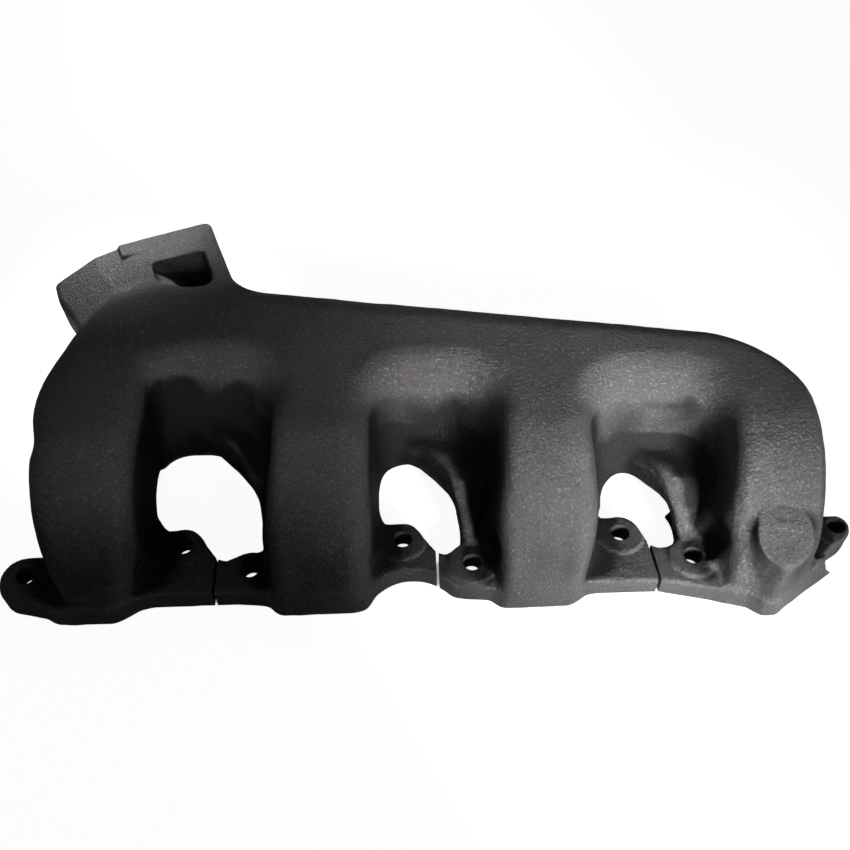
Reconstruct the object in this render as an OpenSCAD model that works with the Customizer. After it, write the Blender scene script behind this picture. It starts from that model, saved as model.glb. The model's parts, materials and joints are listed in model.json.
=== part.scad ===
// Cast-iron log exhaust manifold for one bank of a V8 engine, lying on its port faces.
// Frame: origin on the port face plane, at the middle of the port row. +X runs along the
// log away from the outlet, +Y from the ports to the log, +Z out of the cylinder head.
// The real object is one casting. The nodes are its natural sections, meeting face to face.

/* [Port flanges] */
// Distance between neighbouring exhaust ports
port_pitch = 123; // [110:0.5:135]
// Thickness of the port flanges
flange_t = 12.5; // [9:0.5:16]
// Width of the saw cuts between the flanges
slit_w = 1.6; // [1:0.1:4]
// Bolt hole diameter
bolt_d = 10.4; // [8:0.1:12]
// Sideways distance of each bolt hole from its port
bolt_dx = 42.35; // [41:0.05:46]
// Height of one bolt hole above the port, and of the other below it
bolt_dy = 8.1; // [4:0.1:12]
// Height of the machined pad round each bolt hole
pad_h = 1.5; // [0.5:0.1:3]

/* [Runners] */
// Width of a runner at its foot
runner_w = 59; // [54:1:62]
// Wall thickness of runners and log
wall = 6; // [4:0.5:8]
// Outer bend radius of a runner
bend_r = 75; // [70:1:80]
// Inner bend radius of a runner
crook_r = 18; // [15:1:22]

/* [Log] */
// Height of the log's underside above the port faces
log_bottom = 8; // [5:1:12]
// Reach of the log's back above the port row, at the middle of the row
log_back = 138; // [130:0.5:150]
// Rise of the log's back towards the outlet, per mm of length
log_slope = 0.168; // [0.1:0.001:0.22]
// Radius of the log's long edges
log_r = 24; // [18:1:28]

/* [Outlet] */
// Turn of the outlet away from the +Y direction, in degrees
outlet_turn = 19.5; // [10:0.5:30]
// Bore diameter of the outlet
outlet_d = 48; // [40:0.5:52]
// Distance between the two outlet bolt holes
outlet_pcd = 78; // [74:0.5:84]
// Outlet bolt hole diameter
outlet_bolt_d = 10.5; // [8:0.1:12]
// Thickness of the outlet flange
outlet_t = 24; // [14:0.5:26]

/* [Sensor boss] */
// Diameter of the blank boss on the last runner
boss_d = 30; // [24:0.5:34]
// Lean of the boss away from +Z towards the ports, in degrees
boss_lean = 33; // [25:1:45]

/* [View] */
// Node to draw

/* [Hidden] */
$fn = 40;
iron = [0.2, 0.2, 0.2];
far = 400;
port_x = [for (i = [0:3]) (i - 1.5) * port_pitch];
slit_x = [for (i = [-1:1]) i * port_pitch];
// the last saw cut is off centre and askew
slit_shift = [0, 0, -2.6];
slit_lean = [0, 0, 5.7];

// port flange outline, in mm from the port
foot_low = -30;
foot_top = 27;
foot_r = 8;
foot_corner = [[6, -14], [side_x(foot_r), -18], [3, -12], [8, -8]];
bar_low = -22.3;
bar_top = -1;
lobe_a_r = 14.6;
lobe_a_drop = 1;
lobe_b_r = 10.8;
tip_b_r = 8;
tip_b_drop = 0.5;
pad_r = 14;
relief_r = 14.4;
arch_r = 27.5;
arch_x = -14.5;
arch_y = -39.6;
rib_x = port_x[3] - 7;
rib_low = -39;
rib_tip_w = 12;

// runner bends turn about this line, which runs along X
bend_y = 45;
bend_z = 5;
skin_r = 12;
duct_w = 37;
duct_r = 12;
duct_mid_r = (bend_r + crook_r) / 2;
duct_deep = bend_r - crook_r - 2 * wall;
duct_run = 60;
last_duct_run = 22;

// outside of the log
log_top = bend_z + bend_r;
left_foot_x = -203.5;
left_bulge = 14.5;
left_x = -223;
left_y = 84;
left_shoulder = [-211, 118];
back_left_x = -184;
right_x = 208.5;
end_round = [155, 50];
end_round_r = 60;
junction_half = 31.5;
cell_shift = 19;

// recesses between the runners are given at two levels
low_z = 12;
high_z = 77;
cut_low_z = -5;
cut_high_z = 95;

// outlet
outlet_z = 36;
outlet_pos = [-189.4, 199.4, outlet_z];
rim_r = 30;
rim_top = 70;
stud_turn = 12;
block_len = 75;
collar_r = outlet_d / 2 + wall;
nut_room_len = 19;
lug_x = -6;
lug_w = 16;
lug_len = 10;

// boss
boss_face = [port_x[3] - 6.5, -24.3, 58];
boss_len = 34;

function side_x(r) = runner_w / 2 - r;
function back_y(x) = log_back - log_slope * x;
function at_z(low, high, z) = low + (high - low) * (z - low_z) / (high_z - low_z);

// ---- gas passages -------------------------------------------------------------------

module duct_section() {
  translate([duct_mid_r, 0]) {
    square([duct_deep, duct_w - 2 * duct_r], center = true);
    square([duct_deep - 2 * duct_r, duct_w], center = true);
    for (x = [-1, 1], y = [-1, 1])
      translate([x * (duct_deep / 2 - duct_r), y * (duct_w / 2 - duct_r)])
        circle(duct_r);
  }
}

// From a port up through the bend, and on into the log
module runner_duct(k) {
  translate([port_x[k], bend_y, bend_z])
    rotate([90, 0, -90]) {
      rotate_extrude(angle = 90)
        duct_section();
      rotate([90, 0, 0])
        linear_extrude(bend_z + 1)
          duct_section();
      rotate([-90, 0, 90])
        linear_extrude(k == 3 ? last_duct_run : duct_run)
          duct_section();
    }
}

// The log's own passage, a straight taper closed at both ends
module log_duct() {
  low = log_bottom + wall + duct_r;
  high = log_top - wall - duct_r;
  inner_log_r = end_round_r - wall - duct_r;
  near_left = left_shoulder[0] + 2 * wall + duct_r;
  hull()
    for (z = [low, high]) {
      translate([near_left, left_shoulder[1], z])
        sphere(duct_r);
      translate([back_left_x, back_y(back_left_x) - wall - duct_r, z])
        sphere(duct_r);
      for (a = [40:15:85])
        translate([end_round[0] + inner_log_r * cos(a), end_round[1] + inner_log_r * sin(a), z])
          sphere(duct_r);
      for (x = [near_left, end_round[0] + inner_log_r - 6])
        translate([x, z == low ? 87 - 0.064 * x : 92 - 0.1 * x, z])
          sphere(duct_r);
    }
}

// Outlet frame: Z out of the outlet, X along the outlet face away from the ports' row end
module at_outlet() {
  translate(outlet_pos)
    rotate([0, 0, outlet_turn])
      rotate([-90, 0, 0])
        children();
}

module outlet_duct() {
  at_outlet()
    translate([0, 0, -block_len])
      cylinder(h = block_len + 1, d = outlet_d);
}

// ---- port flanges -------------------------------------------------------------------

module lobe_arm(x, y, r) {
  hull() {
    translate([x, y])
      circle(r);
    translate([sign(x) * runner_w / 4, y + r - foot_r])
      circle(foot_r);
    translate([sign(x) * runner_w / 4, foot_low + foot_r * (y < 0 ? 1 : 2)])
      circle(foot_r);
  }
}

// Everything on one side of a saw cut
module past_slit(i, side) {
  translate([slit_x[i] + slit_shift[i], (bar_low + bar_top) / 2, -1])
    rotate(slit_lean[i])
      translate([side > 0 ? -slit_w / 2 : slit_w / 2 - far, -far / 2, 0])
        cube([far, far, flange_t + pad_h + 2]);
}

module foot_pad(k) {
  side = side_x(foot_r);
  hull() {
    for (x = [-1, 1])
      translate([x * side, foot_top - foot_r])
        circle(foot_r);
    translate([-side, foot_low + foot_r])
      circle(foot_r);
    translate([foot_corner[k][0], foot_low + foot_r])
      circle(foot_r);
    translate([side, foot_corner[k][1]])
      circle(foot_r);
  }
}

// Wedge foot of the rib below the boss
module rib_outline() {
  translate([rib_x, 0])
    polygon([[-24, bar_low], [-rib_tip_w / 2, rib_low], [rib_tip_w / 2, rib_low], [26, bar_low]]);
}

module flange_outline(k) {
  reach = port_pitch / 2 + 8;
  low_reach = k > 0 ? reach : 0;
  high_reach = k < 3 ? reach : 0;
  translate([port_x[k], 0]) {
    foot_pad(k);
    lobe_arm(-bolt_dx, -bolt_dy - lobe_a_drop, lobe_a_r);
    if (k == 3)
      lobe_arm(bolt_dx, bolt_dy - tip_b_drop, tip_b_r);
    else
      lobe_arm(bolt_dx, bolt_dy, lobe_b_r);
    translate([-low_reach, bar_low])
      square([low_reach + high_reach, bar_top - bar_low]);
  }
  if (k == 3)
    rib_outline();
}

module port_flange(k) {
  color(iron)
    difference() {
      union() {
        linear_extrude(flange_t)
          flange_outline(k);
        intersection() {
          linear_extrude(flange_t + pad_h)
            flange_outline(k);
          for (s = [-1, 1])
            translate([port_x[k] + s * bolt_dx, s * bolt_dy, 0])
              cylinder(h = flange_t + pad_h, r = pad_r);
        }
      }
      translate([arch_x, arch_y, -1])
        cylinder(h = flange_t + pad_h + 2, r = arch_r);
      for (s = [-1, 1])
        translate([port_x[k] + s * bolt_dx, s * bolt_dy, -1])
          cylinder(h = flange_t + pad_h + 2, d = bolt_d);
      runner_duct(k);
      if (k > 0)
        past_slit(k - 1, -1);
      if (k < 3)
        past_slit(k, 1);
    }
}

// ---- outside skin of runners and log ------------------------------------------------

module skin() {
  low = log_bottom + log_r;
  high = log_top - log_r;
  hull() {
    for (a = [0:15:90])
      for (x = [left_foot_x + skin_r - left_bulge * sin(a), right_x - skin_r])
        translate([x, bend_y - (bend_r - skin_r) * cos(a), bend_z + (bend_r - skin_r) * sin(a)])
          sphere(skin_r);
    for (z = [low, high]) {
      translate([left_x + log_r, left_y, z])
        sphere(log_r);
      translate([left_shoulder[0] + log_r, left_shoulder[1], z])
        sphere(log_r);
      translate([back_left_x, back_y(back_left_x) - log_r, z])
        sphere(log_r);
      for (a = [35:15:80])
        translate([end_round[0] + (end_round_r - log_r) * cos(a),
                   end_round[1] + (end_round_r - log_r) * sin(a), z])
          sphere(log_r);
    }
  }
}

// Hollow below the bends and the log, along the whole part
module underside() {
  translate([-far, bend_y, bend_z])
    rotate([0, 90, 0])
      cylinder(h = 2 * far, r = crook_r);
  translate([-far, bend_y, -far])
    cube([2 * far, far, far + log_bottom]);
}

// Arch-shaped recess between two runners, open towards the ports and right through
module recess(i) {
  x = slit_x[i];
  top_low = 54.7 - 0.15 * x;
  top_high = 79.5 - 0.085 * x;
  wide = i == 2 ? 39 : 36;
  low_wide = [36, 32, 34][i];
  hull()
    for (z = [cut_low_z, cut_high_z]) {
      left = x + at_z(-low_wide, -wide, z);
      right = x + at_z(24, wide, z);
      top = at_z(top_low, top_high, z);
      translate([left + 14, top - 14, z])
        cylinder(h = 0.1, r = 14);
      translate([right - 26, top - 26, z])
        cylinder(h = 0.1, r = 26);
      translate([left, -far / 5, z])
        cube([right - left + at_z(8, 0, z), 1, 0.1]);
    }
}

// Low shoulder on the outlet side of a runner, from its flange up to the log
module shoulder(k) {
  x = slit_x[k - 1] + [11, 0, -6][k - 1];
  y = [8, 0, -3][k - 1];
  r = 8;
  path = [[14, 0, 10], [19, 8, 20], [20, 18, 27], [15, 31, 31], [7, 41, 31], [-4, k == 1 ? 66 : 52, 29]];
  root = port_x[k] - 20;
  for (i = [0:4])
    hull() {
      for (p = [path[i], path[i + 1]])
        translate([x + p[0], y + p[1], p[2]])
          sphere(r, $fn = 20);
      for (p = [path[i], path[i + 1]])
        translate([root, y + p[1] + 4, p[2] + 4])
          sphere(4, $fn = 12);
    }
}

module casting() {
  difference() {
    union() {
      difference() {
        skin();
        for (i = [0:2])
          recess(i);
      }
      for (k = [1:3])
        shoulder(k);
    }
    for (k = [0:3], s = [-1, 1])
      translate([port_x[k] + s * bolt_dx, s * bolt_dy, 0])
        cylinder(h = log_top / 2, r = relief_r);
    underside();
    log_duct();
    for (k = [0:3])
      runner_duct(k);
    outlet_duct();
  }
}

// ---- sections of the casting --------------------------------------------------------

module runner(k) {
  low_x = k == 0 ? -far : slit_x[k - 1] - cell_shift;
  high_x = k == 3 ? far : slit_x[k] - cell_shift;
  color(iron)
    intersection() {
      casting();
      translate([low_x, -far, flange_t])
        cube([high_x - low_x, far + bend_y, far]);
    }
}

module log_section(low_x, high_x) {
  color(iron)
    intersection() {
      casting();
      translate([low_x, bend_y, 0])
        cube([high_x - low_x, far, far]);
    }
}

module log_junction(k) {
  log_section(k == 0 ? -far : port_x[k] - junction_half, k == 3 ? far : port_x[k] + junction_half);
}

module log_span(i) {
  log_section(port_x[i] + junction_half, port_x[i + 1] - junction_half);
}

// ---- outlet -------------------------------------------------------------------------

// Seen along the outlet's bore, with the part's +Z towards -Y here
module rim_outline() {
  stud_r = outlet_pcd / 2;
  corner_y = outlet_z - rim_top + 5;
  hull() {
    circle(rim_r);
    for (s = [-1, 1])
      translate([s * stud_r * cos(stud_turn), -s * stud_r * sin(stud_turn)])
        circle(12);
    for (x = [12, 49])
      translate([x, corner_y])
        circle(5);
    translate([-45, -8.5])
      circle(6);
  }
}

module outlet_flange() {
  color(iron)
    at_outlet()
      difference() {
        translate([0, 0, -outlet_t])
          linear_extrude(outlet_t)
            rim_outline();
        translate([0, 0, -outlet_t - 1])
          cylinder(h = outlet_t + 2, d = outlet_d);
        for (s = [-1, 1])
          rotate([0, 0, -stud_turn])
            translate([s * outlet_pcd / 2, 0, -outlet_t - 1])
              cylinder(h = outlet_t + 2, d = outlet_bolt_d);
      }
}

// Room for the nuts behind the flange, cut down to the round neck
module nut_room() {
  difference() {
    union() {
      translate([11, -far, -outlet_t - nut_room_len])
        cube([33, far + 5, nut_room_len]);
      translate([-far, 10, -outlet_t - nut_room_len])
        cube([far - 26, far, nut_room_len]);
    }
    translate([0, 0, -block_len])
      cylinder(h = block_len, r = collar_r);
  }
}

module outlet_neck() {
  color(iron)
    difference() {
      at_outlet()
        difference() {
          translate([0, 0, -block_len])
            linear_extrude(block_len - outlet_t)
              rim_outline();
          nut_room();
        }
      skin();
      outlet_duct();
      log_duct();
    }
}

module outlet_lug() {
  color(iron)
    at_outlet()
      translate([0, 0, -lug_len])
        linear_extrude(lug_len)
          difference() {
            translate([lug_x, outlet_z - rim_top])
              square([lug_w, rim_top - outlet_z - 20]);
            rim_outline();
          }
}

// ---- boss ---------------------------------------------------------------------------

module boss_solid() {
  translate(boss_face)
    rotate([boss_lean, 0, 0])
      translate([0, 0, -boss_len])
        cylinder(h = boss_len, d = boss_d);
}

module sensor_boss() {
  color(iron)
    difference() {
      boss_solid();
      skin();
    }
}

module boss_rib() {
  color(iron)
    difference() {
      hull() {
        translate([0, 0, flange_t])
          linear_extrude(1)
            rib_outline();
        translate([rib_x - 7, -34, flange_t + 34])
          cube([14, 10, 1]);
      }
      skin();
      boss_solid();
    }
}

port_flange(0);  // port_flange_1
port_flange(1);  // port_flange_2
port_flange(2);  // port_flange_3
port_flange(3);  // port_flange_4
runner(0);  // runner_1
runner(1);  // runner_2
runner(2);  // runner_3
runner(3);  // runner_4
log_junction(0);  // log_junction_1
log_junction(1);  // log_junction_2
log_junction(2);  // log_junction_3
log_junction(3);  // log_junction_4
log_span(0);  // log_span_12
log_span(1);  // log_span_23
log_span(2);  // log_span_34
outlet_neck();
outlet_flange();
outlet_lug();
sensor_boss();
boss_rib();
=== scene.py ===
import json
import math

import bmesh
import bpy
import numpy as np
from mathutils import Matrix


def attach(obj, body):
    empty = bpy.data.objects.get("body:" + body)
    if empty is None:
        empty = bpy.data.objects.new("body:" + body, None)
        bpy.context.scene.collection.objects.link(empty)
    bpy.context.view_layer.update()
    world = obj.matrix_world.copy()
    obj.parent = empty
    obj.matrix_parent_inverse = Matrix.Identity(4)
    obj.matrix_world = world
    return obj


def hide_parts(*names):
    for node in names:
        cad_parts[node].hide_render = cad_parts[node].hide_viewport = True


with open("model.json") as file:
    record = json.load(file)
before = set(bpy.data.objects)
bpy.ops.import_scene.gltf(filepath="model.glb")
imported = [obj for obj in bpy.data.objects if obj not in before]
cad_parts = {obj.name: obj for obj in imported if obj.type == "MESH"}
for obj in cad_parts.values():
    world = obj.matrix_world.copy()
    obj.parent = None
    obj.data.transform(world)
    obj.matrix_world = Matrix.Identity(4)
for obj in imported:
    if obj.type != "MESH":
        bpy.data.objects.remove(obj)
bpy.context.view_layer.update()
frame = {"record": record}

import openvdb
from mathutils import Matrix, Vector

# A cast-iron log exhaust manifold. The casting's skin is one distance field in millimetres,
# negative inside the iron. It is meshed once, then cut into the sections that the CAD nodes
# stand for, and the machined faces are cut into those sections.

MM = 0.001
VOXEL = 1.1

mounts = {m["name"]: m for m in frame["record"]["mounts"]}


def mount_mm(name):
    return np.array(mounts[name]["pos_m"]) / MM


# ---- sizes, in millimetres ------------------------------------------------------------------
PITCH = mounts["lower_bolts_12"]["dims"]["spacing_x_mm"]
BOLT_R = mounts["lower_bolts_12"]["dims"]["hole_r_mm"]
PORT_X = [(k - 1.5) * PITCH for k in range(4)]
GAP_X = [k * PITCH for k in (-1, 0, 1)]
LOW_DX = mount_mm("lower_bolts_12")[0] - (PORT_X[0] + PORT_X[1]) / 2
LOW_Y = mount_mm("lower_bolts_12")[1]
LOW_HOLES = [(x + LOW_DX, LOW_Y) for x in PORT_X]
HIGH_HOLES = [(x - LOW_DX, -LOW_Y) for x in PORT_X]

FLANGE_T = 12.5
PAD_TOP = 14.0
PAD_R = 13.6
# the runners bend about a line along X at (BEND_Y, BEND_Z)
BEND_Y, BEND_Z, BEND_R, CROOK_R = 45.0, 5.0, 75.0, 18.0
LOG_BOTTOM = 8.0
# the log's back is a plane, BACK_Y at x = 0 and nearer by BACK_SLOPE for each mm to the right
BACK_Y, BACK_SLOPE = 138.4, 0.163
# the left end is part of an upright cylinder above its foot
LEFT_ARC_X, LEFT_ARC_Y, LEFT_ARC_R = -107.6, 76.9, 113.0
LEFT_FOOT_X = -203.5
RIGHT_FRONT_X, RIGHT_BACK_X = 204.5, 208.8
LEFT_CORNER_R, RIGHT_CORNER_R = 32.0, 53.0
WALL = 6.0
# saw cuts between the flanges: place along X, lean in degrees
SLITS = [(GAP_X[0], 0.0), (GAP_X[1], 0.0), (GAP_X[2] - 2.6, 5.7)]
SLIT_HALF = 0.8
SLIT_Y = -11.6

OUT = mount_mm("outlet_studs")
OUT_N = np.array(mounts["outlet_studs"]["axis"])
OUT_E = np.array([OUT_N[1], -OUT_N[0], 0.0])
STUD_R = mounts["outlet_studs"]["dims"]["pcd_mm"] / 2
STUD_HOLE_R = mounts["outlet_studs"]["dims"]["hole_r_mm"]
OUT_BORE_R = mounts["outlet_bore"]["dims"]["r_mm"]
STUD_TURN = math.radians(12)
RIM_TOP = 70.0
RIM_T = 24.0
NECK_T = 47.0

BOSS = np.array([PORT_X[3] - 4.2, -21.0, 52.6])
BOSS_LEAN = math.radians(28)
BOSS_R = 15.2
RIB_X = BOSS[0] - 0.5
RIB_LEAN = math.atan2(11.6, 40.0)

LOW = np.array([-247.0, -44.0, -5.0])
HIGH = np.array([241.0, 223.0, 85.0])
SIZE = np.ceil((HIGH - LOW) / VOXEL).astype(int)
AXES = [LOW[i] + VOXEL * np.arange(SIZE[i]) for i in range(3)]


# ---- distance fields --------------------------------------------------------------------------
class Block:
    """A part of the grid, with its coordinates shaped to broadcast."""

    def __init__(self, low=LOW, high=HIGH):
        self.cut = []
        grids = []
        for i in range(3):
            a = int(np.clip((low[i] - LOW[i]) // VOXEL, 0, SIZE[i] - 1))
            b = int(np.clip((high[i] - LOW[i]) // VOXEL + 2, a + 1, SIZE[i]))
            self.cut.append(slice(a, b))
            shape = [1, 1, 1]
            shape[i] = b - a
            grids.append(AXES[i][a:b].reshape(shape).astype(np.float32))
        self.cut = tuple(self.cut)
        self.x, self.y, self.z = grids

    def turned(self):
        """Coordinates along the outlet's face, out of it, and up from its centre."""
        dx, dy = self.x - OUT[0], self.y - OUT[1]
        return dx * OUT_E[0] + dy * OUT_E[1], dx * OUT_N[0] + dy * OUT_N[1], self.z - OUT[2]


def lerp(a, b, t):
    return a + (b - a) * t


def smooth(a, b, x):
    t = np.clip((x - a) / (b - a), 0, 1)
    return t * t * (3 - 2 * t)


def union(a, b, k):
    """Both shapes, with a fillet about k wide."""
    h = np.clip(0.5 + 0.5 * (b - a) / k, 0, 1)
    return lerp(b, a, h) - k * h * (1 - h)


def without(a, b, k):
    """Shape a less shape b, with the edge eased over k."""
    return -union(-a, b, k)


def rounded(a, b, r):
    """What a and b share, its edge rounded to radius r."""
    return np.minimum(-r, np.maximum(a, b)) + np.hypot(np.maximum(a + r, 0), np.maximum(b + r, 0))


def circle_hull(circles, n=40):
    """Outline round some circles, as the corners of a convex polygon."""
    pts = []
    for cx, cy, r in circles:
        for i in range(n):
            a = 2 * math.pi * i / n
            pts.append((cx + r * math.cos(a), cy + r * math.sin(a)))
    pts = sorted(set(pts))
    halves = []
    for run in (pts, pts[::-1]):
        half = []
        for p in run:
            while len(half) > 1:
                (ax, ay), (bx, by) = half[-2], half[-1]
                if (bx - ax) * (p[1] - ay) - (by - ay) * (p[0] - ax) > 1e-9:
                    break
                half.pop()
            half.append(p)
        halves += half[:-1]
    return halves


def polygon(px, py, corners):
    """Distance to a closed convex outline."""
    near = np.full(np.broadcast(px, py).shape, 1e9, np.float32)
    side = np.full(near.shape, -1e9, np.float32)
    for (ax, ay), (bx, by) in zip(corners, corners[1:] + corners[:1]):
        ex, ey = bx - ax, by - ay
        length = math.hypot(ex, ey)
        if length < 1e-6:
            continue
        wx, wy = px - ax, py - ay
        t = np.clip((wx * ex + wy * ey) / length**2, 0, 1)
        near = np.minimum(near, (wx - ex * t) ** 2 + (wy - ey * t) ** 2)
        side = np.maximum(side, (wx * ey - wy * ex) / length)
    return np.where(side > 0, np.sqrt(near), side)


def value_noise(step, seed):
    """Smooth noise from -1 to 1 over the whole grid, its features about step mm across."""
    rng = np.random.default_rng(seed)
    cells = [int(SIZE[i] * VOXEL / step) + 3 for i in range(3)]
    grid = rng.uniform(-1, 1, cells).astype(np.float32)
    for i in range(3):
        at = np.arange(SIZE[i]) * VOXEL / step
        low = np.floor(at).astype(int)
        t = at - low
        t = (t * t * (3 - 2 * t)).astype(np.float32)
        shape = [1, 1, 1]
        shape[i] = -1
        t = t.reshape(shape)
        grid = np.take(grid, low, i) * (1 - t) + np.take(grid, low + 1, i) * t
    return grid


# ---- the casting ------------------------------------------------------------------------------
def outside():
    """Runners and log without the recesses between the runners."""
    b = Block()
    profile = np.hypot(np.maximum(BEND_Y - b.y, 0), np.maximum(b.z - BEND_Z, 0)) - BEND_R
    back = (b.y - BACK_Y + BACK_SLOPE * b.x) / math.hypot(1, BACK_SLOPE)
    left_arc = np.hypot(np.minimum(b.x - LEFT_ARC_X, 0), b.y - LEFT_ARC_Y) - LEFT_ARC_R
    left_foot = LEFT_FOOT_X - b.x - 0.2 * np.clip(b.z - FLANGE_T, 0, 58)
    left = lerp(left_foot, left_arc, smooth(26, 48, b.y))
    foot = 7.0 * smooth(-8, -28, b.y) * (1 - smooth(12, 44, b.z))
    right = b.x - lerp(RIGHT_FRONT_X, RIGHT_BACK_X, smooth(-30, BEND_Y, b.y)) + foot
    sides = rounded(left, back, LEFT_CORNER_R)
    sides = rounded(sides, right, RIGHT_CORNER_R)
    edge_r = lerp(11.0, 24.0, smooth(50, 110, b.y))
    body = rounded(profile, sides, edge_r)
    # the runners reach below the port plane, where they are cut flat later
    under = LOG_BOTTOM * smooth(30, 60, b.y) - 6.0 * (1 - smooth(28, 50, b.y)) - b.z
    under_r = lerp(1.0, 20.0, smooth(BEND_Y, 75, b.y))
    return rounded(body, under, under_r).astype(np.float32)


def cut_crook(body):
    """The hollow that the runners turn round, and the gap under the log."""
    b = Block()
    crook = np.hypot(b.y - BEND_Y, b.z - BEND_Z) - CROOK_R
    below = np.maximum(BEND_Y - b.y, b.z - LOG_BOTTOM)
    return rounded(body, -union(crook, below, 5.0), 2.5)


# The recess over each window. left and right are the side walls' distances from the gap's middle and
# back is the rear wall's place in Y, each as a pair: low down, then at the log's top. corner and bend
# are the radii of the rear wall's left and right corners. flare widens the foot, left then right.
RECESS = [
    dict(left=(36, 36), right=(26, 36), back=(69.2, 91.5), corner=15, bend=40, flare=(8, 7)),
    dict(left=(32, 36), right=(21, 37), back=(50.9, 80.0), corner=24, bend=30, flare=(6, 12)),
    dict(left=(34, 39), right=(18, 39), back=(35.2, 71.0), corner=24, bend=18, flare=(9, 15)),
]
LOW_Z, HIGH_Z = 12.0, 77.0
HIGH_BEND_R = 28.0


def cut_recess(body, i):
    x0, size = GAP_X[i], RECESS[i]
    b = Block((x0 - 62, -44, -5), (x0 + 62, 112, 85))
    t = (b.z - LOW_Z) / (HIGH_Z - LOW_Z)
    foot = (1 - np.clip(t, 0, 1)) * smooth(4, -24, b.y)
    left = (x0 - lerp(*size["left"], t) - size["flare"][0] * foot) - b.x
    right = b.x - (x0 + lerp(*size["right"], t) + size["flare"][1] * foot)
    slope = (size["back"][1] - size["back"][0]) / (HIGH_Z - LOW_Z)
    back = (b.y - lerp(*size["back"], np.maximum(t, 0))) / math.hypot(1, slope)
    bend_r = lerp(size["bend"], HIGH_BEND_R, np.clip(t, 0, 1))
    hole = rounded(rounded(left, back, size["corner"]), right, bend_r)
    lip = lerp(12.0, 7.0, smooth(x0 - 20, x0 + 25, b.x))
    lip = lerp(lip, 13.0, smooth(40, 75, b.y) * smooth(40, 70, b.z))
    body[b.cut] = rounded(body[b.cut], -hole, lip)


# The outline that each shoulder follows, as offsets in X and Y from its gap's middle, and then how
# far that outline is moved in X and Y and where in Y the shoulder starts
WINDOW_SIDE = [
    [
        (8.5, -12), (9.5, 4), (10, 12), (8.5, 20), (4, 28),
        (-4, 38), (-15.5, 50), (-32, 63), (-60, 63), (-60, -12),
    ],
    [
        (8.5, -12), (9.5, 4), (9.2, 11), (7, 20), (3.5, 28),
        (-2.5, 36), (-11, 45), (-32, 56), (-60, 56), (-60, -12),
    ],
    [
        (12.5, -12), (15, 2), (14, 10), (11, 18), (6, 27),
        (-2, 36), (-11, 45), (-32, 56), (-60, 56), (-60, -12),
    ],
]
SHOULDER_AT = [(11, 8, 9), (0, 0, -2), (-6, -3, -4)]


def add_shoulder(body, k):
    """The step low on a runner's left flank, round the edge of the window."""
    dx, dy, start = SHOULDER_AT[k - 1]
    x0 = GAP_X[k - 1] + dx
    b = Block((x0 - 52, -20, -5), (PORT_X[k], 98, 60))
    ring = [(x0 + u, dy + v, 4.0) for u, v in WINDOW_SIDE[k - 1]]
    opening = polygon(b.x, b.y, circle_hull(ring, 24))
    top = b.z - lerp(13.0, 38.0, smooth(-2, 32, b.y - dy))
    bottom = lerp(-9.0, 21.0, smooth(-2, 26, b.y - dy)) - b.z
    lump = rounded(-opening, top, 8.0)
    lump = rounded(lump, bottom, 6.0)
    lump = rounded(lump, start - b.y, 6.0)
    body[b.cut] = union(body[b.cut], lump, 4.0)


# For each runner: the right corners of its foot, from its port's middle, and the foot's lowest Y
FOOT_CORNER = [(4.5, -15), (21.5, -18), (1, -14), (6, -9)]
FOOT_LOW = [-31.6, -28.0, -26.8, -30.0]
# the lobe round each lower hole: its radius, its drop below the hole and its shoulder's rise above it
LOBE = [(14.6, 2.2, 5.0), (12.8, 1.6, 3.0), (14.6, 1.0, 5.6), (14.6, 2.2, 5.6)]


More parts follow.
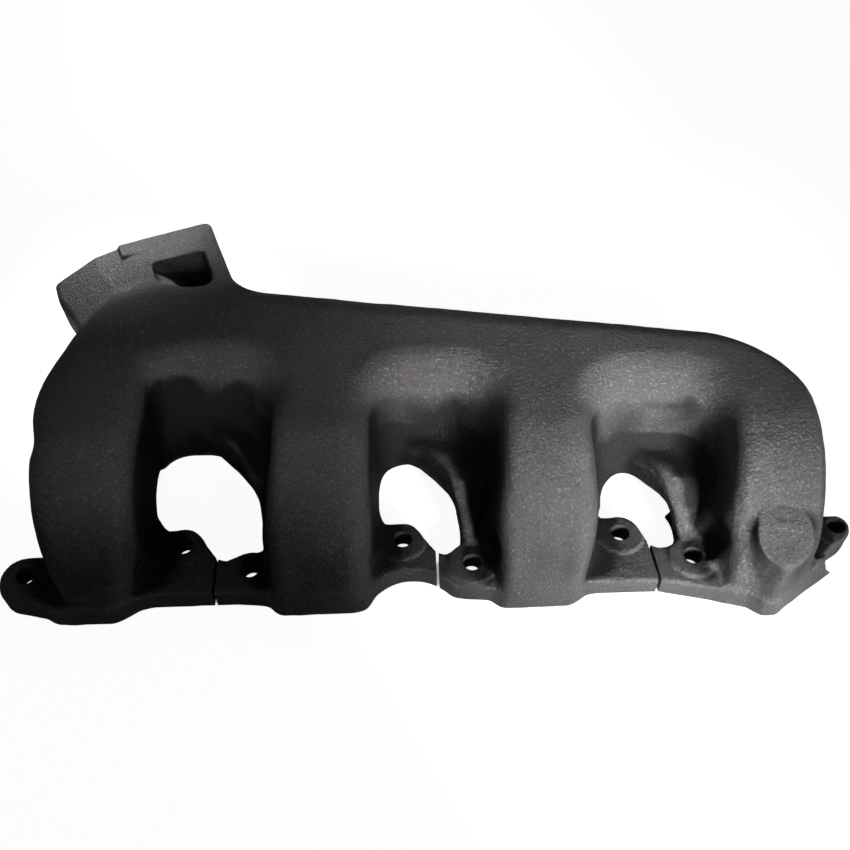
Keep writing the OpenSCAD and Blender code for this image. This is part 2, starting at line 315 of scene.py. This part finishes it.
def flange_field():
    """The four port flanges, still joined in a row, with their bolt pads."""
    b = Block((-247, -44, -5), (241, 34, 20))
    x2, y2 = b.x, b.y
    plate = np.maximum(np.abs(x2) - PORT_X[3], np.abs(y2 + 11.9) - 10.9)
    for k in range(4):
        x, low, r = PORT_X[k], FOOT_LOW[k], 8.0
        cx, cy = FOOT_CORNER[k]
        foot = [(x - 21.5, 19, r), (x + 21.5, 19, r), (x - 21.5, low + r, r)]
        foot += [(x + cx, low + r, r), (x + 21.5, cy, r)]
        plate = union(plate, polygon(x2, y2, circle_hull(foot)), 3.0)
        hx, hy = LOW_HOLES[k]
        tip, drop, rise = LOBE[k]
        arm = [(hx, hy - drop, tip), (x - 14.75, hy + rise, r), (x - 14.75, low + r, r)]
        plate = union(plate, polygon(x2, y2, circle_hull(arm)), 3.0)
        hx, hy = HIGH_HOLES[k]
        tip, drop = (8.0, 0.5) if k == 3 else (10.8, 0.0)
        arm = [(hx, hy - drop, tip), (x + 14.75, hy - drop + tip - r, r), (x + 13, -13, 7)]
        plate = union(plate, polygon(x2, y2, circle_hull(arm)), 8.0)
        if k == 3:
            slant = [(hx - 3, hy - 4.5, 7), (x + 13, -11, 7), (hx, hy, 6)]
            plate = union(plate, polygon(x2, y2, circle_hull(slant)), 2.0)
            edge = [(x - 57, -20.3, 3.5), (x - 20, -28.5, 4), (x - 20, -12, 4)]
            edge.append((x - 57, -12, 3.5))
            plate = union(plate, polygon(x2, y2, circle_hull(edge)), 2.0)
        else:
            web = [(hx, hy, 10.4), (hx + (16 if k == 2 else 19), -4.2, 3), (hx - 4, -4.2, 3)]
            plate = union(plate, polygon(x2, y2, circle_hull(web)), 3.0)
    foot = [(RIB_X - 20, -18.5, 4), (RIB_X - 3, -36.0, 3)]
    foot += [(RIB_X + 3, -36.0, 3), (RIB_X + 18.5, -18.5, 4)]
    plate = union(plate, polygon(x2, y2, circle_hull(foot)), 4.0)
    # the arch in the front edge under the second saw cut
    plate = without(plate, np.hypot(x2 + 14.5, y2 + 39.6) - 28.0, 3.0)
    field = rounded(plate + 0.02 * b.z, b.z - FLANGE_T, 1.6)
    for hx, hy in LOW_HOLES + HIGH_HOLES:
        pad = np.hypot(b.x - hx, b.y - hy) - PAD_R
        pad = rounded(np.maximum(pad, plate + 0.8), b.z - PAD_TOP, 0.9)
        field = union(field, pad, 1.0)
    return b, field


def add_boss(body):
    """The blank boss, spot-faced into the bend of the last runner, and the rib below it."""
    b = Block((140, -44, -5), (222, 30, 76))
    axis = np.array([0, -math.sin(BOSS_LEAN), math.cos(BOSS_LEAN)])
    across = np.array([0, math.cos(BOSS_LEAN), math.sin(BOSS_LEAN)])
    wy, wz = b.y - BOSS[1], b.z - BOSS[2]
    up = wy * axis[1] + wz * axis[2]
    side = wy * across[1] + wz * across[2]
    oval = np.hypot(b.x - BOSS[0], side * 0.92) - BOSS_R - 0.06 * np.maximum(-up, 0)
    # the face is flat in front and slopes off behind
    tilt = math.radians(14)
    crown = up * math.cos(tilt) + (side - 6.0) * math.sin(tilt)
    face = np.maximum(up, crown)
    post = rounded(oval, face, 1.4)
    post = np.maximum(post, -up - 36)
    spot = rounded(oval + 0.4, -face, 0.8)
    spot = rounded(spot, up - 12, 1.0)
    body[b.cut] = rounded(body[b.cut], -spot, 1.0)
    # the rib is a wedge with a blunt ridge, spreading towards its foot
    t = np.clip(b.z / 46, 0, 1.2)
    ridge_y = lerp(-39.0, -36.5, t)
    spread = lerp(0.62, 1.5, t)
    lean = np.hypot(1.0, spread)
    left = (-(b.x - RIB_X + 2.0) * spread - (b.y - ridge_y)) / lean
    right = ((b.x - RIB_X - 2.0) * spread - (b.y - ridge_y)) / lean
    rib = rounded(rounded(left, right, 2.5), ridge_y - b.y, 2.0)
    rib = rounded(rib, b.z - 47.0, 4.0)
    rib = np.maximum(rib, b.y + 14)
    body[b.cut] = union(body[b.cut], rib, 5.0)
    body[b.cut] = union(body[b.cut], post, 4.5)


def outlet_shape(s, h):
    """The outlet block's outline, looked at along its bore."""
    sx, sh = STUD_R * math.cos(STUD_TURN), STUD_R * math.sin(STUD_TURN)
    top = RIM_TOP - OUT[2] - 5
    rings = [(0, 0, 30), (sx, sh, 12), (-sx, -sh, 12), (12, top, 5), (49.3, top, 5)]
    rings += [(-20, 22.5, 6), (-45, 10.6, 6)]
    return polygon(s, h, circle_hull(rings, 32))


def add_outlet(body):
    """The outlet block with the hollows for its nuts, and the locating lug on its top edge."""
    b = Block(OUT + [-66, -96, -34], OUT + [90, 26, 38])
    s, t, h = b.turned()
    waist = 6.5 * (1 - smooth(-38, -10, t)) * smooth(10, -20, s)
    outline = outlet_shape(s - waist, h)
    block = rounded(outline, -t - 78, 1.0)
    block = rounded(block, t - 3, 1.0)
    collar = np.hypot(s, h) - (OUT_BORE_R + WALL)
    # the pocket behind the rim's right half, and the clear space under its left half
    room = rounded(np.abs(s - 27) - 16.5, -h - 2, 3.0)
    under = rounded(s + 27, h + 9, 3.0)
    room = np.minimum(room, under)
    room = rounded(room, np.abs(t + 54) - 29.5, 3.0)
    room = rounded(room, -collar, 3.0)
    block = rounded(block, -room, 1.8)
    lug = rounded(np.abs(s - 2) - 8.2, h - (RIM_TOP - OUT[2]) + 0.4, 1.2)
    lug = rounded(lug, -h + 18, 1.0)
    lug = rounded(lug, -t - 11, 1.3)
    lug = rounded(lug, t - 3, 1.0)
    block = union(block, lug, 1.5)
    body[b.cut] = union(body[b.cut], block, 17.0)


def passages(body):
    """The gas passages: four bends, the log and the outlet, with iron left round the first two."""
    b = Block()
    mid, deep, wide, r = (BEND_R + CROOK_R) / 2, (BEND_R - CROOK_R) / 2 - WALL, 18.5, 12.0
    bend = np.hypot(b.y - BEND_Y, np.maximum(b.z - BEND_Z, 0))
    radial = np.where(b.y < BEND_Y, bend, b.z - BEND_Z)
    across = np.abs(radial - mid) - deep
    gas = None
    for k in range(4):
        reach = b.y - (BEND_Y + (22 if k == 3 else 60))
        tube = rounded(across, np.abs(b.x - PORT_X[k]) - wide, r)
        tube = rounded(tube, reach, 4.0)
        gas = tube if gas is None else np.minimum(gas, tube)
    front = np.maximum(87 - 0.064 * b.x, 92 - 0.1 * b.x - 0.4 * (62 - b.z)) - 12 - b.y
    back = b.y - (BACK_Y - BACK_SLOPE * b.x - WALL - 1)
    log = rounded(rounded(back, b.x - 202.5, 53.0), -196 - b.x, 26.0)
    log = rounded(rounded(log, front, 8.0), np.abs(b.z - 44) - 30, 11.0)
    # the least wall is let go near the ports, which open through the flanges
    least_wall = WALL - 1.5 - 40 * (1 - smooth(9, 16, b.z))
    gas = np.maximum(union(gas, log, 6.0), body + least_wall)
    s, t, h = b.turned()
    pipe = np.maximum(np.hypot(s, h) - OUT_BORE_R, -t - 76)
    return union(gas, pipe, 4.0)


def casting():
    """The whole casting, hollow, before any machining."""
    body = outside()
    for i in range(3):
        cut_recess(body, i)
    for k in (1, 2, 3):
        add_shoulder(body, k)
    # room for a socket over each bolt
    for hx, hy in LOW_HOLES + HIGH_HOLES:
        b = Block((hx - 24, hy - 24, -5), (hx + 24, hy + 24, 60))
        room = np.hypot(b.x - hx, b.y - hy) - 12.0 - 0.10 * (b.z - FLANGE_T)
        room = rounded(room, b.z - 42.0, 9.0)
        body[b.cut] = without(body[b.cut], room, 5.0)
    body = cut_crook(body)
    add_outlet(body)
    b, plate = flange_field()
    body[b.cut] = union(body[b.cut], plate, 4.5)
    add_boss(body)
    # hand-made mould: slow waves and small lumps in the skin
    body += 0.28 * value_noise(26.0, 3) + 0.16 * value_noise(9.0, 5) + 0.1 * value_noise(3.6, 8)
    return np.maximum(body, -passages(body))


field = casting().astype(np.float32)


def sample(grid, pts):
    """The grid's value at points in mm, with the way back to the grid added for points outside it."""
    wanted = (pts - LOW) / VOXEL
    at = np.clip(wanted, 0, SIZE - 1.001)
    beyond = np.linalg.norm(wanted - at, axis=1) * VOXEL
    i = at.astype(int)
    f = (at - i).astype(np.float32)
    out = 0
    for dx in (0, 1):
        for dy in (0, 1):
            for dz in (0, 1):
                w = (f[:, 0] if dx else 1 - f[:, 0]) * (f[:, 1] if dy else 1 - f[:, 1])
                w = w * (f[:, 2] if dz else 1 - f[:, 2])
                out = out + w * grid[i[:, 0] + dx, i[:, 1] + dy, i[:, 2] + dz]
    return out + beyond


def slope(pts, step=VOXEL * 0.8):
    """Unit outward direction of the skin near points in mm."""
    g = np.empty_like(pts)
    for i in range(3):
        d = np.zeros(3)
        d[i] = step
        g[:, i] = sample(field, pts + d) - sample(field, pts - d)
    return g / np.maximum(np.linalg.norm(g, axis=1, keepdims=True), 1e-9)


def painted_shade_depth(pts):
    """How shut in the skin is near points in mm, from 0 in the open to 1 deep in a recess, which the
    iron's colour turns into painted shade.
    """
    out = slope(pts, 8.0)
    shut = np.zeros(len(pts))
    for far, weight in ((6, 0.2), (14, 0.25), (28, 0.3), (48, 0.25)):
        shut += weight * np.clip(1.15 - sample(field, pts + out * far) / far, 0, 1)
    # the painted shade is eased off towards the open back and at the foot
    open_back = 1 - 0.8 * smooth(105, 150, pts[:, 1])
    open_foot = lerp(0.55, 1.0, smooth(14, 26, pts[:, 2]))
    return shut * open_back * open_foot


def add_object(name, data):
    obj = bpy.data.objects.new(name, data)
    bpy.context.scene.collection.objects.link(obj)
    return obj


def mesh_object(name, verts, faces):
    mesh = bpy.data.meshes.new(name)
    mesh.from_pydata(verts, [], faces)
    mesh.validate()
    return add_object(name, mesh)


def skin_object():
    grid = openvdb.FloatGrid(20.0)
    grid.copyFromArray(field)
    points, quads = grid.convertToQuads(0.0)
    points = (points * VOXEL + LOW) * MM
    mesh = bpy.data.meshes.new("casting")
    mesh.vertices.add(len(points))
    mesh.vertices.foreach_set("co", points.astype(np.float32).ravel())
    mesh.loops.add(quads.size)
    mesh.loops.foreach_set("vertex_index", quads.astype(np.int32).ravel())
    mesh.polygons.add(len(quads))
    mesh.polygons.foreach_set("loop_start", np.arange(0, quads.size, 4, dtype=np.int32))
    mesh.update(calc_edges=True)
    mesh.validate()
    return add_object("casting", mesh)


# ---- cutting the casting into its sections -----------------------------------------------------
CELL_STEP = 6.0
CELL_SHIFT = 19.0
JUNCTION = 31.5
BIG = 500.0
PAD_CELL_TOP, PAD_CELL_FOOT_R = 15.2, 14.4


def box_cell(low, high, turn=None, origin=(0, 0, 0)):
    """A closed box in mm, optionally turned by a 3x3 matrix about an origin.

    Its sides are made of small squares, because one big cut face loses a hole right through it.
    """
    low, high = np.array(low, float), np.array(high, float)
    if turn is None:
        low, high = np.maximum(low, LOW - 3), np.minimum(high, HIGH + 3)
    lines = [np.linspace(a, c, max(2, int((c - a) / CELL_STEP) + 2)) for a, c in zip(low, high)]
    pts, faces, seen = [], [], {}

    def corner(key):
        if key not in seen:
            seen[key] = len(pts)
            pts.append([lines[i][key[i]] for i in range(3)])
        return seen[key]

    for i in range(3):
        j, k = (i + 1) % 3, (i + 2) % 3
        for end in (0, len(lines[i]) - 1):
            for a in range(len(lines[j]) - 1):
                for c in range(len(lines[k]) - 1):
                    quad = []
                    for da, dc in ((0, 0), (1, 0), (1, 1), (0, 1)):
                        key = [0, 0, 0]
                        key[i], key[j], key[k] = end, a + da, c + dc
                        quad.append(corner(tuple(key)))
                    faces.append(quad if end else quad[::-1])
    pts = np.array(pts)
    if turn is not None:
        pts = pts @ np.array(turn).T + np.array(origin, float)
    return mesh_object("cell", (pts * MM).tolist(), faces)


def rod_cell(base, axis, r, length, r_end=None, n=64):
    """A closed round rod in mm from base along axis."""
    axis = Vector(axis).normalized()
    turn = axis.to_track_quat("Z", "Y").to_matrix()
    r_end = r if r_end is None else r_end
    pts, faces = [], []
    for z, rr in ((0, r), (length, r_end)):
        for i in range(n):
            a = 2 * math.pi * (i + 0.5) / n
            p = turn @ Vector((rr * math.cos(a), rr * math.sin(a), z)) + Vector(base)
            pts.append(tuple(p * MM))
    faces.append(tuple(range(n))[::-1])
    faces.append(tuple(range(n, 2 * n)))
    for i in range(n):
        j = (i + 1) % n
        faces.append((i, j, n + j, n + i))
    return mesh_object("cell", pts, faces)


def combine(obj, other, how, keep_other=False):
    mod = obj.modifiers.new("cut", "BOOLEAN")
    mod.operation = how
    mod.solver = "MANIFOLD"
    mod.object = other
    dg = bpy.context.evaluated_depsgraph_get()
    mesh = bpy.data.meshes.new_from_object(obj.evaluated_get(dg))
    obj.modifiers.clear()
    old = obj.data
    obj.data = mesh
    bpy.data.meshes.remove(old)
    if not keep_other:
        bpy.data.objects.remove(other)
    return obj


def drop_crumbs(obj, least=400):
    """Removes loose bits too small to be part of the casting."""
    bm = bmesh.new()
    bm.from_mesh(obj.data)
    seen, doomed = set(), []
    for start in bm.verts:
        if start in seen:
            continue
        seen.add(start)
        group, i = [start], 0
        while i < len(group):
            for edge in group[i].link_edges:
                v = edge.other_vert(group[i])
                if v not in seen:
                    seen.add(v)
                    group.append(v)
            i += 1
        if len(group) < least and len(bm.verts) > 4 * least:
            doomed += group
    bmesh.ops.delete(bm, geom=doomed, context="VERTS")
    bm.to_mesh(obj.data)
    bm.free()


def copy_of(obj, name):
    return add_object(name, obj.data.copy())


OUT_TURN = np.array([OUT_E, OUT_N, [0, 0, 1]]).T


def outlet_cell(low_t, high_t):
    return box_cell((-90, low_t, -50), (120, min(high_t, 60), 60), OUT_TURN, OUT)


def slit_cell(i):
    x, lean = SLITS[i]
    a = math.radians(lean)
    turn = np.array([[math.cos(a), -math.sin(a), 0], [math.sin(a), math.cos(a), 0], [0, 0, 1]])
    return box_cell((-SLIT_HALF, -60, -9), (SLIT_HALF, 60, 30), turn, (x, SLIT_Y, 0))


whole = skin_object()

sections = {}


def section(name, source, cell):
    """Takes a copy of what the cell holds as a named piece."""
    sections[name] = combine(copy_of(source, name), cell, "INTERSECT")


def split_off(name, source, cell_of):
    """Takes what the cell holds out of the source, as a named piece."""
    section(name, source, cell_of())
    combine(source, cell_of(), "DIFFERENCE")


# flanges, each with the pads round its own holes, and cut flat on the port plane
combine(whole, box_cell((-BIG, -BIG, 0), (BIG, BIG, BIG)), "INTERSECT")
plates = copy_of(whole, "plates")
cell = box_cell((-BIG, -BIG, -4), (BIG, BEND_Y - 10, FLANGE_T + 0.9))
for hx, hy in LOW_HOLES + HIGH_HOLES:
    pad_cell = rod_cell((hx, hy, 1), (0, 0, 1), PAD_CELL_FOOT_R, PAD_CELL_TOP - 1)
    combine(cell, pad_cell, "UNION")
upper = copy_of(whole, "upper")
combine(upper, cell, "DIFFERENCE", keep_other=True)
combine(plates, cell, "INTERSECT")
for i in range(3):
    combine(plates, slit_cell(i), "DIFFERENCE")
for x, y in LOW_HOLES + HIGH_HOLES:
    combine(plates, rod_cell((x, y, -4), (0, 0, 1), BOLT_R, 30), "DIFFERENCE")
    bevel = rod_cell((x, y, PAD_TOP - 0.45), (0, 0, 1), BOLT_R, 2.0, BOLT_R + 2.0)
    combine(plates, bevel, "DIFFERENCE")
edges = [-BIG] + [x for x, lean in SLITS] + [BIG]
for k in range(4):
    cell = box_cell((edges[k], -BIG, -9), (edges[k + 1], BIG, 40))
    section(f"port_flange_{k + 1}", plates, cell)
bpy.data.objects.remove(plates)

# runners in front of the line that the bends turn about
front_half = box_cell((-BIG, -BIG, -4), (BIG, BEND_Y, BIG))
front = combine(copy_of(upper, "front"), front_half, "INTERSECT")


def boss_cell():
    axis = Vector((0, -math.sin(BOSS_LEAN), math.cos(BOSS_LEAN)))
    return rod_cell(Vector(BOSS) - axis * 19, axis, BOSS_R + 3.2, 30)


def rib_cell():
    c, s = math.cos(RIB_LEAN), math.sin(RIB_LEAN)
    turn = np.array([[1, 0, 0], [0, c, s], [0, -s, c]])
    return box_cell((-30, -40, 0), (30, 0.2, 46), turn, (BOSS[0] + 1, -30.5, 8))


def lug_cell():
    return box_cell((-7.5, -12.5, 30.6), (11.6, 1, 60), OUT_TURN, OUT)


split_off("sensor_boss", front, boss_cell)
split_off("boss_rib", front, rib_cell)
edges = [-BIG] + [x - CELL_SHIFT for x in GAP_X] + [BIG]
for k in range(4):
    section(f"runner_{k + 1}", front, box_cell((edges[k], -BIG, -4), (edges[k + 1], BIG, BIG)))
bpy.data.objects.remove(front)

# the log, its neck and the outlet flange
rear = combine(upper, box_cell((-BIG, BEND_Y, -4), (BIG, BIG, BIG)), "INTERSECT")
left_side = box_cell((-BIG, 100, -BIG), (GAP_X[0] + 12, BIG, BIG))
neck_slab = combine(outlet_cell(-NECK_T, -RIM_T), left_side, "INTERSECT", keep_other=True)
rim_slab = combine(outlet_cell(-RIM_T, 0), left_side, "INTERSECT", keep_other=True)
all_slab = combine(outlet_cell(-NECK_T, BIG), left_side, "INTERSECT")
section("outlet_neck", rear, neck_slab)
rim = combine(copy_of(rear, "rim"), rim_slab, "INTERSECT")
for side in (-1, 1):
    outward = math.cos(STUD_TURN) * OUT_E + math.sin(STUD_TURN) * np.array([0, 0, 1])
    at = OUT + side * STUD_R * outward
    combine(rim, rod_cell(at - OUT_N * 40, OUT_N, STUD_HOLE_R, 60), "DIFFERENCE")
split_off("outlet_lug", rim, lug_cell)
sections["outlet_flange"] = rim
rim.name = "outlet_flange"
combine(rear, all_slab, "DIFFERENCE")
cuts = [("log_junction_1", -BIG)]
for k in range(3):
    cuts.append((f"log_span_{k + 1}{k + 2}", PORT_X[k] + JUNCTION))
    cuts.append((f"log_junction_{k + 2}", PORT_X[k + 1] - JUNCTION))
cuts.append((None, BIG))
for (name, low), (_, high) in zip(cuts, cuts[1:]):
    section(name, rear, box_cell((low, -BIG, -4), (high, BIG, BIG)))
bpy.data.objects.remove(rear)
bpy.data.objects.remove(whole)


# ---- shading normals from the field, so that no seam shows ------------------------------------
def read(items, key, width, kind=np.float32):
    values = np.empty(len(items) * width, kind)
    items.foreach_get(key, values)
    return values


def read_mm(items, key):
    return read(items, key, 3).reshape(-1, 3).astype(np.float64) / MM


def finish_piece(obj, materials):
    """Gives a piece its materials, shading normals and the value that paints shade into its recesses.
    """
    mesh = obj.data
    mesh.materials.clear()
    for m in materials:
        mesh.materials.append(m)
    verts = read_mm(mesh.vertices, "co")
    centre = read_mm(mesh.polygons, "center")
    normal = read(mesh.polygons, "normal", 3).reshape(-1, 3)
    total = read(mesh.polygons, "loop_total", 1, np.int32)
    corner = read(mesh.loops, "vertex_index", 1, np.int32)
    # a face is skin if it lies on the field's zero and faces along its slope, and cut otherwise
    near = np.abs(sample(field, centre)) < VOXEL * 0.45
    skin = near & ((slope(centre) * normal).sum(1) > 0.6)
    smooth_n = slope(verts)[corner]
    owner = np.repeat(np.arange(len(total)), total)
    out = np.where(skin[owner][:, None], smooth_n, normal[owner])
    mesh.polygons.foreach_set("use_smooth", np.ones(len(total), bool))
    mesh.polygons.foreach_set("material_index", np.where(skin, 0, 1).astype(np.int32))
    mesh.normals_split_custom_set(out.tolist())
    shut = mesh.attributes.new("painted_shade_depth", "FLOAT", "POINT")
    shut.data.foreach_set("value", painted_shade_depth(verts).astype(np.float32))
    mesh.update()


# ---- materials ---------------------------------------------------------------------------------
def material(name):
    """A new material, its shader, and the calls that add and link its nodes."""
    mat = bpy.data.materials.new(name)
    mat.use_nodes = True
    tree = mat.node_tree
    return mat, tree.nodes["Principled BSDF"], tree.nodes.new, tree.links.new


def cast_iron():
    """Sand-cast skin: grey patches, faint rust, fine pits and sparks, with painted shade darkening it
    where it is shut in.
    """
    mat, bsdf, new, link = material("cast_iron")
    coord = new("ShaderNodeTexCoord").outputs["Object"]

    def noise(scale, detail, rough=0.6):
        node = new("ShaderNodeTexNoise")
        node.inputs["Scale"].default_value = scale
        node.inputs["Detail"].default_value = detail
        node.inputs["Roughness"].default_value = rough
        link(coord, node.inputs["Vector"])
        return node.outputs["Fac"]

    def ramp(source, stops):
        node = new("ShaderNodeValToRGB")
        while len(node.color_ramp.elements) < len(stops):
            node.color_ramp.elements.new(0.5)
        for e, (at, c) in zip(node.color_ramp.elements, stops):
            e.position = at
            e.color = (*c, 1)
        link(source, node.inputs["Fac"])
        return node.outputs["Color"]

    def mix(factor, a, b):
        node = new("ShaderNodeMix")
        node.data_type = "RGBA"
        for socket, value in (("Factor", factor), ("A", a), ("B", b)):
            if isinstance(value, tuple):
                node.inputs[socket].default_value = (*value, 1)
            else:
                link(value, node.inputs[socket])
        return node.outputs["Result"]

    patches = ramp(noise(22.0, 4.0), [(0.3, (0.105, 0.105, 0.107)), (0.7, (0.14, 0.139, 0.138))])
    rust = ramp(noise(38.0, 5.0), [(0.60, (0, 0, 0)), (0.78, (0.55, 0.55, 0.55))])
    # painted shade: where the skin is shut in, the base colour is mixed to near black in place of the
    # shadow there
    shut = new("ShaderNodeAttribute")
    shut.attribute_name = "painted_shade_depth"
    painted_recess_shade = ramp(shut.outputs["Fac"], [(0.155, (0, 0, 0)), (0.27, (0.9, 0.9, 0.9))])
    base = mix(rust, patches, (0.17, 0.115, 0.085))
    pits = ramp(noise(430.0, 3.0), [(0.34, (0.45, 0.45, 0.45)), (0.46, (0, 0, 0))])
    base = mix(pits, base, (0.055, 0.055, 0.056))
    sparks = ramp(noise(640.0, 3.0), [(0.57, (0, 0, 0)), (0.68, (0.65, 0.65, 0.65))])
    base = mix(sparks, base, (0.29, 0.29, 0.28))
    base = mix(painted_recess_shade, base, (0.016, 0.016, 0.017))
    link(base, bsdf.inputs["Base Color"])
    bsdf.inputs["Metallic"].default_value = 0.8
    grain = noise(560.0, 4.0, 0.72)
    dots = noise(1000.0, 2.0, 0.5)
    rough = ramp(dots, [(0.40, (0.54,) * 3), (0.58, (0.46,) * 3), (0.68, (0.28,) * 3)])
    link(rough, bsdf.inputs["Roughness"])
    bump = new("ShaderNodeBump")
    bump.inputs["Strength"].default_value = 0.85
    bump.inputs["Distance"].default_value = 0.0016
    link(grain, bump.inputs["Height"])
    link(bump.outputs["Normal"], bsdf.inputs["Normal"])
    return mat


def machined_iron():
    """Milled faces and drilled bores: fine cutter arcs, oil stains and a little rust bloom."""
    mat, bsdf, new, link = material("machined_iron")
    coord = new("ShaderNodeTexCoord").outputs["Object"]
    arcs = new("ShaderNodeTexWave")
    arcs.wave_type = "RINGS"
    arcs.rings_direction = "SPHERICAL"
    arcs.inputs["Scale"].default_value = 260.0
    arcs.inputs["Distortion"].default_value = 0.6
    arcs.inputs["Detail"].default_value = 2.0
    link(coord, arcs.inputs["Vector"])
    stains = new("ShaderNodeTexNoise")
    stains.inputs["Scale"].default_value = 46.0
    stains.inputs["Detail"].default_value = 5.0
    link(coord, stains.inputs["Vector"])
    tone = new("ShaderNodeValToRGB")
    tone.color_ramp.elements[0].position = 0.36
    tone.color_ramp.elements[0].color = (0.075, 0.07, 0.066, 1)
    tone.color_ramp.elements[1].position = 0.62
    tone.color_ramp.elements[1].color = (0.17, 0.17, 0.175, 1)
    link(stains.outputs["Fac"], tone.inputs["Fac"])
    link(tone.outputs["Color"], bsdf.inputs["Base Color"])
    polish = new("ShaderNodeMapRange")
    polish.inputs["To Min"].default_value = 0.36
    polish.inputs["To Max"].default_value = 0.56
    link(arcs.outputs["Fac"], polish.inputs["Value"])
    link(polish.outputs["Result"], bsdf.inputs["Roughness"])
    bump = new("ShaderNodeBump")
    bump.inputs["Strength"].default_value = 0.25
    bump.inputs["Distance"].default_value = 0.0002
    link(arcs.outputs["Fac"], bump.inputs["Height"])
    link(bump.outputs["Normal"], bsdf.inputs["Normal"])
    bsdf.inputs["Metallic"].default_value = 0.6
    return mat


materials = [cast_iron(), machined_iron()]
for name, obj in sections.items():
    drop_crumbs(obj)
    finish_piece(obj, materials)
    obj.name = "iron_" + name
    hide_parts(name)
    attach(obj, "root")


# ---- floor, light and camera -------------------------------------------------------------------
FLOOR_GLOW = 0.94


def floor():
    mesh = bpy.data.meshes.new("floor")
    r = 6.0
    mesh.from_pydata([(-r, -r, 0), (r, -r, 0), (r, r, 0), (-r, r, 0)], [], [(0, 1, 2, 3)])
    obj = add_object("floor", mesh)
    mat, bsdf, new, link = material("floor")
    bsdf.inputs["Base Color"].default_value = (0.5, 0.5, 0.5, 1)
    bsdf.inputs["Roughness"].default_value = 0.9
    bsdf.inputs["Specular IOR Level"].default_value = 0
    bsdf.inputs["Emission Color"].default_value = (1, 1, 1, 1)

    def times(value, by, clamp=False):
        node = new("ShaderNodeMath")
        node.operation = "MULTIPLY"
        node.use_clamp = clamp
        link(value, node.inputs[0])
        if isinstance(by, float):
            node.inputs[1].default_value = by
        else:
            link(by, node.inputs[1])
        return node.outputs["Value"]

    # white to the camera and grey to the casting, with a painted contact shadow where they touch
    near = new("ShaderNodeAmbientOcclusion")
    near.inputs["Distance"].default_value = 0.006
    near.samples = 8
    painted_contact_shadow = times(near.outputs["AO"], 2.2, clamp=True)
    seen = times(new("ShaderNodeLightPath").outputs["Is Camera Ray"], painted_contact_shadow)
    link(times(seen, FLOOR_GLOW), bsdf.inputs["Emission Strength"])
    mesh.materials.append(mat)


def light(name, at, target, size, watts, spread=180):
    data = bpy.data.lights.new(name, "AREA")
    data.energy = watts
    data.shape = "RECTANGLE"
    data.spread = math.radians(spread)
    data.size, data.size_y = size
    obj = add_object(name, data)
    obj.location = at
    obj.visible_camera = False
    obj.rotation_mode = "QUATERNION"
    obj.rotation_quaternion = (Vector(target) - Vector(at)).to_track_quat("-Z", "Y")


floor()
light("key", (0.36, -0.60, 0.27), (0.14, -0.045, 0.035), (0.14, 0.42), 0.70, 22)
light("strip", (0.12, -0.50, 0.44), (0.04, 0.088, 0.072), (0.50, 0.05), 0.05, 9)
light("side", (0.80, -0.22, 0.22), (0.0, 0.0, 0.05), (0.3, 0.3), 0.09, 60)
light("top", (0.1, 0.45, 0.75), (0, 0.1, 0.05), (0.9, 0.5), 0.06)
light("end", (-0.20, 0.60, 0.52), (-0.195, 0.235, 0.06), (0.06, 0.06), 0.085, 16)
world = bpy.data.worlds.new("studio")
bpy.context.scene.world = world
world.use_nodes = True
world.node_tree.nodes["Background"].inputs["Color"].default_value = (1, 1, 1, 1)
world.node_tree.nodes["Background"].inputs["Strength"].default_value = 0.06

CAMERA_AZ, CAMERA_EL, CAMERA_ROLL = (math.radians(a) for a in (-1.4708, 51.647, -0.5047))
CAMERA_AIM = Vector((-3.62, 100.21, 0)) * MM
CAMERA_AWAY = 631.5 * MM
SENSOR, FOCAL = 36.0, 42.353

cam_data = bpy.data.cameras.new("camera")
cam_data.sensor_width = SENSOR
cam_data.lens = FOCAL
cam = add_object("camera", cam_data)
back = Vector((
    math.sin(CAMERA_AZ) * math.cos(CAMERA_EL),
    -math.cos(CAMERA_AZ) * math.cos(CAMERA_EL),
    math.sin(CAMERA_EL),
))
level = Vector((math.cos(CAMERA_AZ), math.sin(CAMERA_AZ), 0))
upright = back.cross(level)
right = level * math.cos(CAMERA_ROLL) + upright * math.sin(CAMERA_ROLL)
cam.matrix_world = Matrix.Translation(CAMERA_AIM + back * CAMERA_AWAY) @ Matrix(
    (right, back.cross(right), back)
).transposed().to_4x4()
bpy.context.scene.camera = cam
bpy.context.scene.view_settings.view_transform = "Standard"
cam_data.clip_start, cam_data.clip_end = 0.05, 20
